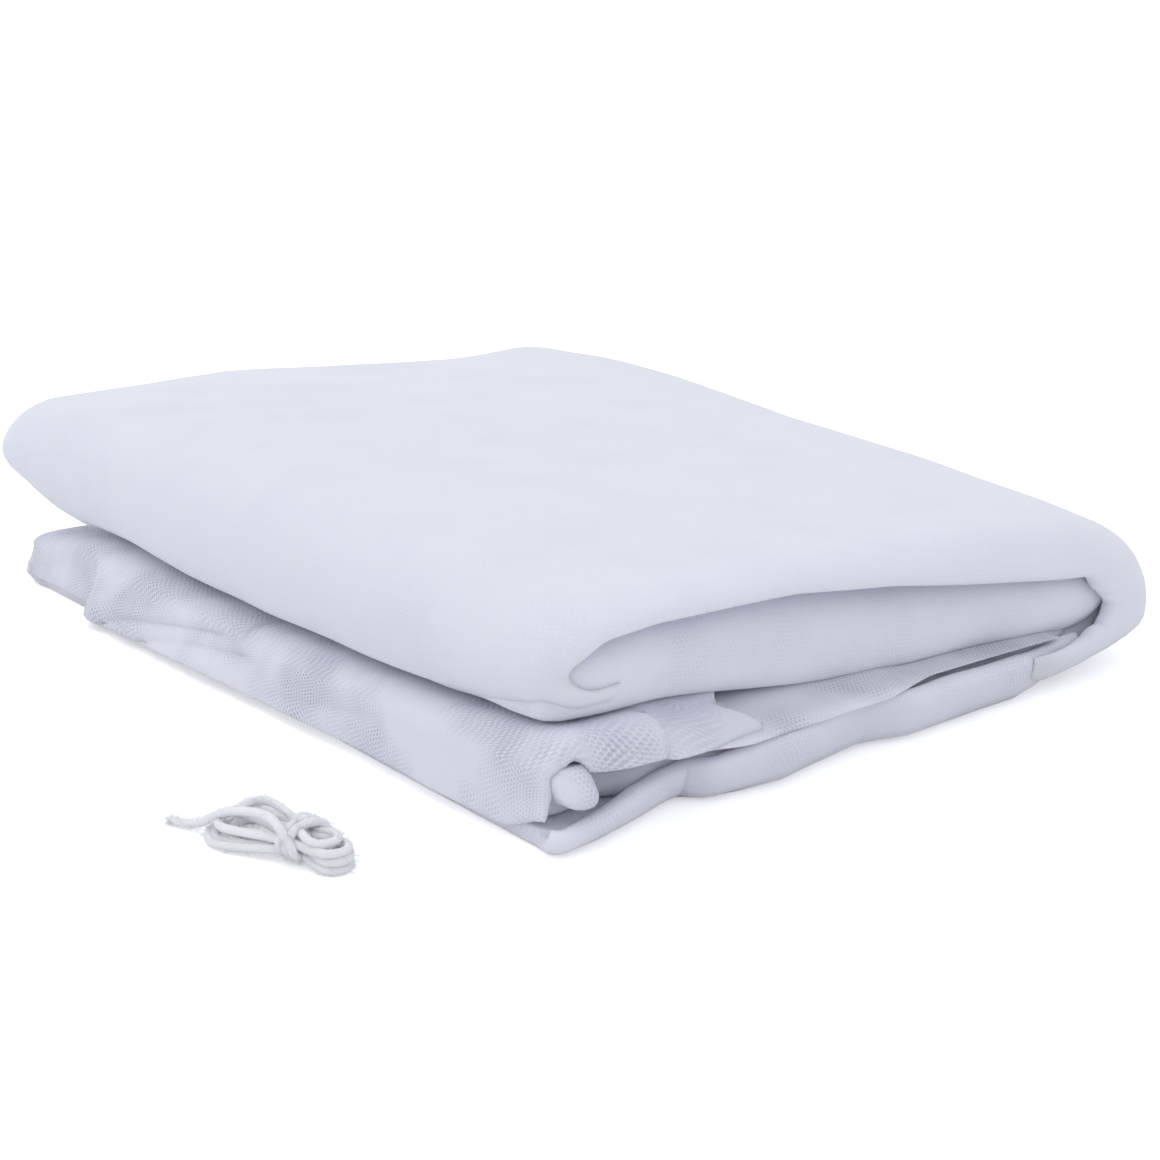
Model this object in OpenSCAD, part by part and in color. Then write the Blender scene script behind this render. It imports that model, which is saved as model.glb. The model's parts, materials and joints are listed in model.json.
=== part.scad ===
// A folded rectangular bed net with its hanging cord, lying flat. Millimetres, +Z up.
// The bundle is one long strip of netting folded in four: a bottom band, a turn at the +X end,
// a top band over it, and two ends tucked in between the bands. The open side is at -X.

/* [Folded bundle] */
// Width, from the open side to the turn at the fold end
net_w = 304; // [260:2:360]
// Depth, along the folds
net_d = 396; // [340:4:460]
// Thickness of the band of cloth beneath, round the turn and on top
band_t = 19.4; // [14:0.2:24]
// Thickness of the top half at its rounded side fold
upper_h = 45.5; // [40:0.5:52]
// Thickness of the flap tucked between the halves, at the open side
flap_h = 17.6; // [13:0.2:22]

/* [Roof panel and walls] */
// Thickness of the roof panel's own layers in the band
roof_t = 8; // [5:0.5:11]
// Thickness of the wall layers under the roof panel at the side fold
head_wall_t = 10; // [6:0.5:12]
// Radius of the rounded free end of the inner pad
nose_r = 13.6; // [11:0.2:15]
// How far the inner pad's front edge stands back from the roof panel's
pad_setback = 9; // [4:1:16]
// How far along the front edge the top leaf of the flap reaches
top_leaf_reach = 45; // [30:1:70]
// How far along the front edge the middle leaf of the flap reaches
middle_leaf_reach = 94; // [75:1:130]
// Width of the closer-knitted selvedge along a leaf's end
selvedge_w = 4; // [2:0.5:8]
// Radius of the roll in the flap's edge
roll_r = 5.6; // [4:0.2:6.4]

/* [Tapes and loops] */
// Width of the binding tape
tape_w = 10; // [6:1:16]
// Thickness of the binding tape
tape_t = 0.8; // [0.4:0.1:1]
// Width of a hanging loop's webbing
loop_w = 12; // [8:1:18]
// Length of a hanging loop laid flat
loop_l = 42; // [30:2:60]
// Thickness of a hanging loop, two layers of webbing
loop_t = 1.4; // [0.8:0.1:1.5]

/* [Hanging cord] */
// Diameter of the cord
cord_d = 3.2; // [2.4:0.2:4]
// Height of the hank
hank_h = 11; // [8:0.5:14]
// Radius of the hank's fanned end
hank_fan_r = 15.5; // [12:0.5:18]
// Radius of the hank's narrow end
hank_tip_r = 7.5; // [6:0.5:11]

/* [Hidden] */
$fn = 64;

white = [0.88, 0.89, 0.94];
shade = [0.80, 0.81, 0.87];
tape_white = [0.93, 0.93, 0.95];

// Clearance between pieces that move apart
clear = 0.3;
// Gap between the flap and the pad above it, at the open side and at the fold end
flap_gap = 1.5;
flap_end_gap = 1;
edge_inset = 2;
corner_r = 22;

side_x = -net_w / 2;
front_y = -net_d / 2;

// The turn at the fold end, about the line that the top half opens on
turn_in = nose_r + 1;
turn_out = turn_in + band_t;
hinge_x = net_w / 2 - turn_out;
hinge_z = turn_out;
band_end = hinge_x - clear;

// Levels at the open side
flap_z = band_t;
upper_z = band_t + flap_h + flap_gap;
top_z = upper_z + upper_h;

// The rounded side fold of the top half
fold_r = upper_h / 2;
fold_x = side_x + fold_r;
fold_z = upper_z + fold_r;
fold_in = fold_r - roof_t;
pad_side_z = top_z - roof_t - head_wall_t;

// The tucked flap is a wedge that runs out before the turn
flap_x0 = side_x + edge_inset;
flap_x1 = hinge_x - nose_r;
flap_end_z = pad_under(flap_x1) - flap_end_gap;
flap_slope = (flap_z + flap_h - flap_end_z) / (flap_x1 - flap_x0);
leaf_t = flap_h / 3;
leaf_edge_t = 0.5;
slant_d = 24;
flap_front = front_y + 1;
flap_back = net_d / 2 - 10;
corner_flap_d = 20;

// Where the hanging loops and binding tapes lie between the halves
loop_inset = 46;
lower_loop_x = side_x + 44;
upper_loop_x = side_x + 132;
lower_tape_y = net_d / 2 - 26;
upper_tape_y = front_y + 26;
tape_len = 150;

// Where the hank lies on the same surface, beside the open side
hank_fan = [-221, -118];
hank_tip = [-212.5, -159];
hank_span = norm(hank_tip - hank_fan);
hank_turn = atan2(hank_tip[1] - hank_fan[1], hank_tip[0] - hank_fan[0]);
wrap_at = 0.5;
wrap_w = 10;
wrap_t = 1.2;
wrap_lift = 1;
// Middle line of the loose end of the cord, from the hank outwards
cord_end_route = [
    [-232, -105.2, 4], [-233.2, -102.6, 3.2], [-234.3, -100, 2.4], [-235.2, -97.2, 2],
    [-236.1, -94.4, 1.8], [-237.2, -91.5, 1.7]
];

// Height of the pad's underside, and of the flap's top, at x
function pad_under(x) =
    upper_z - (upper_z - hinge_z + nose_r) * (x - fold_x) / (hinge_x - fold_x);
function flap_top(x) = flap_z + flap_h - flap_slope * (x - flap_x0);
function flap_x_at(z) = flap_x0 + (flap_z + flap_h - z) / flap_slope;

// A point on the side fold's arc of radius r, at an angle from +X
function side_fold_point(r, angle) = [fold_x + r * cos(angle), fold_z + r * sin(angle)];

// Height of the top band's upper face, and of the pad's upper face, at x
function band_top(x) = top_z - (top_z - 2 * turn_out) * (x - fold_x) / (hinge_x - fold_x);
function pad_over(x) =
    pad_side_z - (pad_side_z - hinge_z - nose_r) * (x - fold_x) / (hinge_x - fold_x);

// An outline in X and Z, drawn out along Y
module along_y(y0, y1) {
    translate([0, y1, 0]) rotate([90, 0, 0]) linear_extrude(y1 - y0) children();
}

// An upright block whose corners on the open side are round
module plan_block(x0, x1, y0, y1, r, z0, z1) {
    translate([0, 0, z0]) linear_extrude(z1 - z0) union() {
        translate([x0 + r, y0]) square([x1 - x0 - r, y1 - y0]);
        translate([x0, y0 + r]) square([2 * r, y1 - y0 - 2 * r]);
        translate([x0 + r, y0 + r]) circle(r);
        translate([x0 + r, y1 - r]) circle(r);
    }
}

module half_ring(r_in, r_out) {
    intersection() {
        difference() {
            circle(r_out);
            circle(r_in);
        }
        translate([0, -r_out]) square([r_out, 2 * r_out]);
    }
}

// Bottom band: the roof panel's layers beneath, then wall layers on them
module roof_panel_under() {
    color(white) plan_block(side_x + edge_inset, hinge_x, front_y + 1, net_d / 2 - 1,
                            corner_r, 0, roof_t);
}

module foot_wall() {
    color(shade) plan_block(side_x + 2 * edge_inset, hinge_x, front_y + 4, net_d / 2 - 4,
                            corner_r, roof_t, band_t);
}

// One leaf of the flap, from level z0 up to z1 and under the flap's sloping top
module flap_leaf(z0, z1, x0, y1) {
    x_end = min(flap_x_at(z0 + leaf_edge_t), flap_x1);
    x_full = max(flap_x_at(z1), x0 + 0.1);
    along_y(flap_front, y1) polygon([
        [x0, z0], [x_end, z0], [x_end, flap_top(x_end)], [x_full, flap_top(x_full)],
        [x0, min(z1, flap_top(x0))]
    ]);
}

// The part of a leaf's front corner beyond a slanting line, which starts at its reach
module past_slant(reach, y1) {
    depth = y1 - flap_front;
    translate([side_x + reach, flap_front, 0]) linear_extrude(top_z) polygon([
        [0, 0], [-1, -1], [net_w, -1], [net_w, depth], [depth, depth]
    ]);
}

leaf_x0 = flap_x0 + 2 * roll_r + 0.4;

module near_wall_bottom_leaf() {
    color(shade) flap_leaf(flap_z, flap_z + leaf_t, leaf_x0, flap_back - corner_flap_d);
}

module near_wall_middle_leaf() {
    color(white) difference() {
        flap_leaf(flap_z + leaf_t, flap_z + 2 * leaf_t, leaf_x0, flap_back);
        past_slant(middle_leaf_reach, flap_front + slant_d);
    }
}

module near_wall_top_leaf() {
    color(white) difference() {
        flap_leaf(flap_z + 2 * leaf_t, flap_z + flap_h, flap_x0, flap_back);
        past_slant(top_leaf_reach, flap_front + slant_d);
    }
}

// The flap's folded edge, rolled along the open side between the bottom and top leaves
module near_wall_roll() {
    color(white) translate([flap_x0 + roll_r, flap_front, flap_z + roll_r])
        rotate([-90, 0, 0]) cylinder(h = flap_back - flap_front, r = roll_r);
}

// The flap's far corner, pulled out past the bottom leaf
module near_wall_corner() {
    color(shade) translate([leaf_x0, flap_back - corner_flap_d, flap_z])
        linear_extrude(leaf_t) polygon([
            [0, 0], [110, 0], [84, corner_flap_d + 6], [30, corner_flap_d + 8],
            [0, corner_flap_d + 3]
        ]);
}

// Selvedge strips on the slanted ends of the top and middle leaves
module selvedge_strip(reach, z0) {
    intersection() {
        flap_leaf(z0, z0 + leaf_t, flap_x0, flap_back);
        translate([side_x + reach, flap_front, 0]) linear_extrude(top_z) polygon([
            [0, 0], [selvedge_w, 0], [selvedge_w + slant_d, slant_d], [slant_d, slant_d]
        ]);
    }
}

module near_wall_selvedge() {
    color(tape_white) {
        selvedge_strip(middle_leaf_reach, flap_z + leaf_t);
        selvedge_strip(top_leaf_reach, flap_z + 2 * leaf_t);
    }
}

// The turn at the fold end: roof panel outside, wall layers inside
module roof_panel_turn() {
    color(white) along_y(front_y + 1, net_d / 2 - 1) translate([hinge_x, hinge_z])
        half_ring(turn_out - roof_t, turn_out);
}

module foot_wall_turn() {
    color(shade) along_y(front_y + 4, net_d / 2 - 4) translate([hinge_x, hinge_z])
        half_ring(turn_in, turn_out - roof_t);
}

// Top band and side fold, down to the pad's underside
module roof_panel_top() {
    color(white) intersection() {
        along_y(front_y, net_d / 2) polygon(concat(
            [for (a = [270:-5:90]) side_fold_point(fold_r, a)],
            [[band_end, band_top(band_end)], [band_end, band_top(band_end) - roof_t]],
            [for (a = [90:5:270]) side_fold_point(fold_in, a)]
        ));
        plan_block(side_x, hinge_x, front_y, net_d / 2, corner_r, 0, top_z + 1);
    }
}

module head_wall() {
    color(shade) along_y(front_y + 3, net_d / 2 - 3) polygon([
        [fold_x, top_z - roof_t], [band_end, band_top(band_end) - roof_t],
        [band_end, pad_over(band_end)], [fold_x, pad_side_z]
    ]);
}

// The end of the strip, tucked under the top band, with a rounded free end at the turn
module far_wall() {
    color(shade) along_y(front_y + pad_setback, net_d / 2 - pad_setback) {
        polygon([
            [fold_x, upper_z], [hinge_x, hinge_z - nose_r], [hinge_x, hinge_z + nose_r],
            [fold_x, pad_side_z]
        ]);
        translate([hinge_x, hinge_z]) circle(nose_r);
        polygon([for (a = [90:5:270]) side_fold_point(fold_in, a)]);
    }
}

// A strip lying on the flap's sloping top, or held against the pad's sloping underside
module on_flap(x0, x1, y0, w, t) {
    along_y(y0, y0 + w) polygon([
        [x0, flap_top(x0)], [x1, flap_top(x1)], [x1, flap_top(x1) + t], [x0, flap_top(x0) + t]
    ]);
}

module under_pad(x0, x1, y0, w, t) {
    along_y(y0, y0 + w) polygon([
        [x0, pad_under(x0)], [x0, pad_under(x0) - t], [x1, pad_under(x1) - t], [x1, pad_under(x1)]
    ]);
}

// Binding tape of the roof seam, where it shows between the halves
module roof_binding_lower() {
    color(tape_white) on_flap(flap_x0 + 4, flap_x_at(flap_z + 2 * leaf_t) - 4, lower_tape_y,
                              tape_w, tape_t);
}

module roof_binding_upper() {
    color(tape_white) under_pad(hinge_x - tape_len, hinge_x - 20, upper_tape_y, tape_w, tape_t);
}

// Hanging loops of doubled webbing, pressed flat between the halves
module corner_loop_1() {
    color(tape_white) on_flap(lower_loop_x - loop_l / 2, lower_loop_x + loop_l / 2 - loop_w,
                              front_y + loop_inset + 28, loop_w, loop_t);
}

module corner_loop_2() {
    color(tape_white) on_flap(lower_loop_x - loop_l / 2, lower_loop_x + loop_l / 2 - loop_w,
                              net_d / 2 - loop_inset - loop_w, loop_w, loop_t);
}

module corner_loop_3() {
    color(tape_white) under_pad(upper_loop_x, upper_loop_x + loop_l, front_y + loop_inset,
                                loop_w, loop_t);
}

module corner_loop_4() {
    color(tape_white) under_pad(upper_loop_x, upper_loop_x + loop_l,
                                net_d / 2 - loop_inset - loop_w, loop_w, loop_t);
}

// The hank: folded runs of cord, fanned at one end
module cord_hank() {
    color(white) translate([hank_fan[0], hank_fan[1], 0]) rotate(hank_turn)
        linear_extrude(hank_h) union() {
            circle(hank_fan_r);
            translate([hank_span, 0]) circle(hank_tip_r);
            polygon([
                [0, -hank_fan_r], [hank_span, -hank_tip_r], [hank_span, hank_tip_r],
                [0, hank_fan_r]
            ]);
        }
}

// The last turns of the same cord round the hank, which hold it, down both its sides
module cord_wrap() {
    x0 = hank_span * wrap_at;
    half = hank_fan_r + (hank_tip_r - hank_fan_r) * wrap_at;
    color(white) translate([hank_fan[0], hank_fan[1], 0]) rotate(hank_turn)
        difference() {
            translate([x0, -half - wrap_t, wrap_lift])
                cube([wrap_w, 2 * (half + wrap_t), hank_h + wrap_t - wrap_lift]);
            translate([x0 - 1, -half, -1]) cube([wrap_w + 2, 2 * half, hank_h + 1]);
        }
}

// A tube swept along a list of points, its rings square to the path
function path_dir(p, i) =
    let (a = p[max(i - 1, 0)], b = p[min(i + 1, len(p) - 1)]) (b - a) / norm(b - a);
function ring(c, d, r, n) =
    let (side = cross(d, [0, 0, 1]) / norm(cross(d, [0, 0, 1])), up = cross(side, d))
    [for (k = [0:n - 1]) c + r * (cos(360 * k / n) * side + sin(360 * k / n) * up)];

module tube(path, d, n = 8) {
    points = [for (i = [0:len(path) - 1]) each ring(path[i], path_dir(path, i), d / 2, n)];
    last = (len(path) - 1) * n;
    sides = [for (i = [0:len(path) - 2], k = [0:n - 1])
        [i * n + k, i * n + (k + 1) % n, (i + 1) * n + (k + 1) % n, (i + 1) * n + k]];
    polyhedron(points, concat([[for (k = [n - 1:-1:0]) k]], sides,
               [[for (k = [0:n - 1]) last + k]]), convexity = 4);
}

module cord_end() {
    color(white) tube(cord_end_route, cord_d);
}

roof_panel_under();
foot_wall();
near_wall_bottom_leaf();
near_wall_middle_leaf();
near_wall_top_leaf();
near_wall_roll();
near_wall_corner();
near_wall_selvedge();
roof_panel_turn();
foot_wall_turn();
roof_panel_top();
head_wall();
far_wall();
roof_binding_lower();
roof_binding_upper();
corner_loop_1();
corner_loop_2();
corner_loop_3();
corner_loop_4();
cord_hank();
cord_end();
cord_wrap();
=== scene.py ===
import json
import math

import bpy
import numpy as np
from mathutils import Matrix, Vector, noise

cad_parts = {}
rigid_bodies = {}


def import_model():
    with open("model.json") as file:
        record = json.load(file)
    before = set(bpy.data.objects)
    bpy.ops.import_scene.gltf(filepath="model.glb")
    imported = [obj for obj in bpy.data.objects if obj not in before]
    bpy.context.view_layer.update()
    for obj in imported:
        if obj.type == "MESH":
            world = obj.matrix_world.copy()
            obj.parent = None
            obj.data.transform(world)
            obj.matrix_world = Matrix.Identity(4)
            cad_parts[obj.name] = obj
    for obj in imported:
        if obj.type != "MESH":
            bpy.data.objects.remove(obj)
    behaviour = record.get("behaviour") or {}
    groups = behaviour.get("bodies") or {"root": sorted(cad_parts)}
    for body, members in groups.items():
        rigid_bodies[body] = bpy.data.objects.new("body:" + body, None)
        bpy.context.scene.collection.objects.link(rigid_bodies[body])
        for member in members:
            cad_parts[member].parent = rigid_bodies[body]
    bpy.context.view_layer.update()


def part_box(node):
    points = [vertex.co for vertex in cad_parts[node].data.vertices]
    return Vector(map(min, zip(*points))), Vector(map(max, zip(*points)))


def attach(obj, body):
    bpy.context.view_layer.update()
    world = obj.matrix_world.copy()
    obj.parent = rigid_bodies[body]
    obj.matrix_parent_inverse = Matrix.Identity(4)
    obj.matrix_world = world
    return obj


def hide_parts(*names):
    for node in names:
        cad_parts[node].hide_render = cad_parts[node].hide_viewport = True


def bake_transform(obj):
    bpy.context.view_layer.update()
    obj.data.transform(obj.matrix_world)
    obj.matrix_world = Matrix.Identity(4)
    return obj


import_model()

# The place where the folded net lies: camera, floor, soft light.
# The floor and the world are white where the camera sees them directly, and the floor keeps
# the bundle's soft shadow.
camera = bpy.data.objects.new("camera", bpy.data.cameras.new("camera"))
camera.data.lens = 71.4
camera.data.sensor_width = 36
camera.location = (-0.585, -0.749, 0.326)
camera.rotation_euler = (math.radians(72), 0, math.radians(-38.86))
bpy.context.scene.collection.objects.link(camera)
bpy.context.scene.camera = camera
bpy.context.scene.view_settings.view_transform = "Standard"


def tree_of(owner):
    """Empties the node tree of a material or world, and gives back two functions: one links
    two sockets in it, and one adds a node to it."""
    owner.use_nodes = True
    nodes = owner.node_tree.nodes
    nodes.clear()

    def add(kind, **inputs):
        node = nodes.new("ShaderNode" + kind)
        for key, value in inputs.items():
            node.inputs[key.replace("_", " ")].default_value = value
        return node

    return owner.node_tree.links.new, add


world = bpy.data.worlds.new("studio")
bpy.context.scene.world = world
link, add = tree_of(world)
light_path = add("LightPath")
soft_light = add("Background", Color=(0.93, 0.95, 1, 1), Strength=0.84)
white_seen = add("Background", Color=(1, 1, 1, 1), Strength=1)
seen = add("Math")
seen.operation = "MAXIMUM"
link(light_path.outputs["Is Camera Ray"], seen.inputs[0])
link(light_path.outputs["Is Glossy Ray"], seen.inputs[1])
world_mix = add("MixShader")
link(seen.outputs[0], world_mix.inputs[0])
link(soft_light.outputs[0], world_mix.inputs[1])
link(white_seen.outputs[0], world_mix.inputs[2])
link(world_mix.outputs[0], add("OutputWorld").inputs[0])

bpy.ops.mesh.primitive_plane_add(size=12, location=(0, 0, -0.0002))
floor = bpy.context.object
floor.name = "floor"
floor_white = bpy.data.materials.new("floor_white")
link, add = tree_of(floor_white)
light_path = add("LightPath")
board = add("BsdfDiffuse", Color=(0.88, 0.88, 0.89, 1))
board_seen = add("BsdfDiffuse", Color=(0.97, 0.97, 0.98, 1))
glow = add("Emission", Color=(1, 1, 1, 1), Strength=0.42)
board_sum = add("AddShader")
link(board_seen.outputs[0], board_sum.inputs[0])
link(glow.outputs[0], board_sum.inputs[1])
board_mix = add("MixShader")
link(light_path.outputs["Is Camera Ray"], board_mix.inputs[0])
link(board.outputs[0], board_mix.inputs[1])
link(board_sum.outputs[0], board_mix.inputs[2])
link(board_mix.outputs[0], add("OutputMaterial").inputs[0])
floor.data.materials.append(floor_white)


def lamp(name, place, aim, size, watts, tint):
    """A square soft box at place, turned to aim."""
    box = bpy.data.lights.new(name, "AREA")
    box.size = size
    box.energy = watts
    box.color = tint
    box_object = bpy.data.objects.new(name, box)
    box_object.location = place
    box_object.rotation_euler = (Vector(aim) - Vector(place)).to_track_quat("-Z", "Y").to_euler()
    bpy.context.scene.collection.objects.link(box_object)


lamp("overhead_box", (-0.35, 0.25, 1.9), (0, 0, 0), 1.6, 4.5, (1, 0.99, 0.97))
lamp("window_box", (-1.5, 0.6, 1.0), (0, 0, 0.05), 1.0, 1.2, (0.97, 0.98, 1))

# Hanging cord: one length of soft white polyester cord, wound into a small hank beside the net.
# Five turns lie in two layers, its last three turns go round their middle and hold them, and
# the loose end lies out to one side, frayed where it was cut.
CORD_D = 0.0032
HANK_FAN = Vector((-0.221, -0.118, 0))
HANK_TIP = Vector((-0.2125, -0.159, 0))
CORD_END = [
    (-0.2320, -0.1052, 0.0040), (-0.2332, -0.1026, 0.0032), (-0.2343, -0.1000, 0.0024),
    (-0.2352, -0.0972, 0.0020), (-0.2361, -0.0944, 0.0018), (-0.2372, -0.0915, 0.0017),
]
hank_run = (HANK_TIP - HANK_FAN).normalized()
hank_side = Vector((-hank_run.y, hank_run.x, 0))
hank_span = (HANK_TIP - HANK_FAN).length
waist = hank_span * 0.5 + 0.005
# The wraps round the waist: half width, middle height, half height and advance for each step
WRAP_HALF_W, WRAP_Z, WRAP_HALF_H, WRAP_STEP = 0.0096, 0.0074, 0.0058, 0.00031
FIBRES_PER_STRETCH, FIBRES_AT_END = 44, 150


def on_hank(run, side, height):
    return HANK_FAN + hank_run * run + hank_side * side + Vector((0, 0, height))


# Each turn: half width, height and sideways shift of its fanned loop, half width, height and
# reach of its narrow loop, and the side and height where its two runs pass the waist.
TURNS = [
    (0.0148, 0.0018, -0.0004, 0.0064, 0.0018, 0.0000, -0.0064, 0.0050, 0.0064, 0.0050),
    (0.0112, 0.0024, -0.0020, 0.0062, 0.0048, 0.0003, -0.0032, 0.0050, 0.0032, 0.0050),
    (0.0072, 0.0034, 0.0010, 0.0063, 0.0076, -0.0006, 0.0000, 0.0050, 0.0000, 0.0081),
    (0.0104, 0.0068, -0.0012, 0.0062, 0.0066, -0.0065, -0.0064, 0.0081, 0.0064, 0.0081),
    (0.0066, 0.0092, 0.0046, 0.0062, 0.0098, -0.0050, -0.0032, 0.0081, 0.0032, 0.0081),
]
cord_route = []
for (fan_w, fan_z, shift, tip_w, tip_z, tip_reach,
     side_in, height_in, side_out, height_out) in TURNS:
    cord_route.append(on_hank(waist, side_in, height_in))
    cord_route.append(on_hank(waist * 0.5, shift * 0.6 - fan_w * 0.72, (fan_z + height_in) / 2))
    for step in range(7):
        turn = math.pi * step / 6
        cord_route.append(on_hank(-fan_w * 0.95 * math.sin(turn),
                                  shift - fan_w * math.cos(turn), fan_z))
    cord_route.append(on_hank(waist * 0.5, shift * 0.6 + fan_w * 0.72, (fan_z + height_out) / 2))
    cord_route.append(on_hank(waist, side_out, height_out))
    for step in range(5):
        turn = math.pi * step / 4
        cord_route.append(on_hank(hank_span + tip_reach + tip_w * math.sin(turn) - 0.002,
                                  tip_w * math.cos(turn), tip_z))
for step in range(2, 31):
    turn = math.radians(190 + 36 * step)
    cord_route.append(on_hank(waist - 0.0048 + WRAP_STEP * step, WRAP_HALF_W * math.cos(turn),
                              WRAP_Z - WRAP_HALF_H * math.sin(turn)))
cord_route.append(on_hank(waist - 0.001, -0.0085, 0.0118))
cord_route.append(on_hank(waist - 0.009, -0.0055, 0.0146))
cord_route.append(on_hank(0.008, -0.0058, 0.0136))
cord_route.append(on_hank(-0.004, -0.0074, 0.0112))
cord_route.append(on_hank(-0.0105, -0.0092, 0.0070))
cord_route += [Vector(p) for p in CORD_END]

cord_line = bpy.data.curves.new("hanging_cord", "CURVE")
cord_line.dimensions = "3D"
cord_line.bevel_depth = CORD_D / 2
cord_line.bevel_resolution = 3
cord_line.use_fill_caps = True
spline = cord_line.splines.new("NURBS")
spline.points.add(len(cord_route) - 1)
for point, place in zip(spline.points, cord_route):
    point.co = (*place, 1)
spline.order_u = 4
spline.use_endpoint_u = True
spline.resolution_u = 5
hanging_cord = bpy.data.objects.new("hanging_cord", cord_line)
bpy.context.scene.collection.objects.link(hanging_cord)

# Loose fibres standing off the cord all along it, and a frayed brush at its cut end.
fibres = bpy.data.curves.new("cord_fibres", "CURVE")
fibres.dimensions = "3D"
fibres.bevel_depth = 0.00009
fibres.bevel_resolution = 0
fibres.use_fill_caps = True
dice = np.random.default_rng(7)


def add_fibre(root, way, long):
    """One fibre from a root, bending a little to the side."""
    side = Vector(dice.normal(size=3)).normalized() * long * 0.35
    hair = fibres.splines.new("POLY")
    hair.points.add(3)
    for i, point in enumerate(hair.points):
        reach = (i + 1) / 4
        place = root + way * long * reach + side * reach * reach
        place.z = max(place.z, 0.0003)
        point.co = (*place, 1)
        point.radius = 1.1 - 0.8 * reach


for i in range(len(cord_route) - 1):
    for k in range(FIBRES_PER_STRETCH):
        way = Vector(dice.normal(size=3)).normalized()
        part = (k + 0.5) / FIBRES_PER_STRETCH
        root = cord_route[i].lerp(cord_route[i + 1], part) + way * CORD_D * 0.36
        if root.z > 0.001:
            add_fibre(root, way, 0.0016 + 0.0016 * dice.random())
end = cord_route[-1]
end_way = (cord_route[-1] - cord_route[-2]).normalized()
for k in range(FIBRES_AT_END):
    spread = Vector(dice.normal(size=3))
    spread.z *= 0.35
    start = end - end_way * 0.003 + spread.normalized() * CORD_D * 0.42 * dice.random()
    add_fibre(start, (end_way + spread * 0.3).normalized(), 0.002 + 0.003 * dice.random())
cord_fibres = bpy.data.objects.new("cord_fibres", fibres)
bpy.context.scene.collection.objects.link(cord_fibres)


def cord_yarn():
    """Loosely laid yarn: soft strands round the cord, bright and quite matt."""
    yarn = bpy.data.materials.new("cord_yarn")
    link, add = tree_of(yarn)
    place = add("TexCoord")
    strands = add("TexNoise", Scale=900, Detail=3, Roughness=0.6)
    link(place.outputs["Object"], strands.inputs["Vector"])
    clumps = add("TexNoise", Scale=160, Detail=2)
    link(place.outputs["Object"], clumps.inputs["Vector"])
    tone = add("Mix")
    tone.data_type = "RGBA"
    tone.inputs[6].default_value = (0.92, 0.93, 0.96, 1)
    tone.inputs[7].default_value = (0.96, 0.965, 0.98, 1)
    link(clumps.outputs[0], tone.inputs[0])
    relief = add("Bump", Strength=0.55, Distance=0.0006)
    link(strands.outputs[0], relief.inputs["Height"])
    skin = add("BsdfPrincipled", Roughness=0.92)
    skin.inputs["Subsurface Weight"].default_value = 0.5
    skin.inputs["Subsurface Radius"].default_value = (1, 1, 1.1)
    skin.inputs["Subsurface Scale"].default_value = 0.003
    skin.inputs["Sheen Weight"].default_value = 0.35
    skin.inputs["Sheen Roughness"].default_value = 0.5
    skin.inputs["Specular IOR Level"].default_value = 0.2
    link(tone.outputs[2], skin.inputs["Base Color"])
    link(relief.outputs[0], skin.inputs["Normal"])
    link(skin.outputs[0], add("OutputMaterial").inputs[0])
    return yarn


yarn = cord_yarn()
hanging_cord.data.materials.append(yarn)
cord_fibres.data.materials.append(yarn)
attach(hanging_cord, "hank")
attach(cord_fibres, "hank")
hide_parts("cord_hank", "cord_end", "cord_wrap")

# Roof panel over the top: some ten layers of netting in one soft band, which come up round the
# fold end, lie over the whole top and roll under at the open side. Their front and back edges
# hang down over the layers beneath.
ROOF_HALF = 0.0040
fold_low, fold_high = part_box("roof_panel_top")
HINGE_X, HINGE_Z = 0.118, 0.034
FOLD_X, FOLD_Z, FOLD_R = -0.12925, 0.06125, 0.01875
DEPTH = fold_high.y


def ease(low, high, value):
    """0 up to low, 1 from high, and a smooth step between them."""
    part = np.clip((value - low) / (high - low), 0, 1)
    return part * part * (3 - 2 * part)


def ripple(points, size, seed):
    """Soft noise, about -1 to 1, at each point of a grid; size is the width of one swell."""
    flat = points.reshape(-1, 3) / size + seed
    return np.array([noise.noise(Vector(p)) for p in flat]).reshape(points.shape[:-1])


def along(points, step, rim):
    """Points on a line in X and Z, step apart, and closer together within rim of its ends."""
    points = np.array(points, float)
    run = np.r_[0, np.cumsum(np.linalg.norm(np.diff(points, axis=0), axis=1))]
    ends = rim * np.array([0, 0.02, 0.08, 0.2, 0.4, 0.7, 1])
    places = np.r_[ends, np.linspace(rim, run[-1] - rim, int(run[-1] / step) + 2)[1:-1],
                   run[-1] - ends[::-1]]
    return np.c_[np.interp(places, run, points[:, 0]), np.interp(places, run, points[:, 1])]


def arc(centre, radius, first, last, steps):
    """Points on an arc in X and Z, angles in degrees from +X towards +Z."""
    angles = np.radians(np.linspace(first, last, steps))
    return [(centre[0] + radius * math.cos(a), centre[1] + radius * math.sin(a)) for a in angles]


EDGE_STEPS = np.array([0, 0.1, 0.45, 1, 1.8, 2.8, 4.2, 6, 8.2, 11, 14, 17.5, 21.5, 26]) / 1000


def half_row(width, reach, drop, columns, curl=90):
    """(across, drop) from one edge to the middle; the edge hangs by drop over its last reach,
    and comes back under when it curls more than 90 degrees."""
    angles = np.linspace(math.radians(curl), 0, 40)
    across = np.r_[width - reach + reach * np.sin(angles), 0]
    fall = np.r_[drop * (1 - np.cos(angles)) / (1 - math.cos(math.radians(curl))), 0]
    run = np.r_[0, np.cumsum(np.hypot(np.diff(across), np.diff(fall)))]
    places = np.r_[EDGE_STEPS, np.linspace(EDGE_STEPS[-1], run[-1], columns + 1)[1:]]
    return np.interp(places, run, across), np.interp(places, run, fall)


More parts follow.
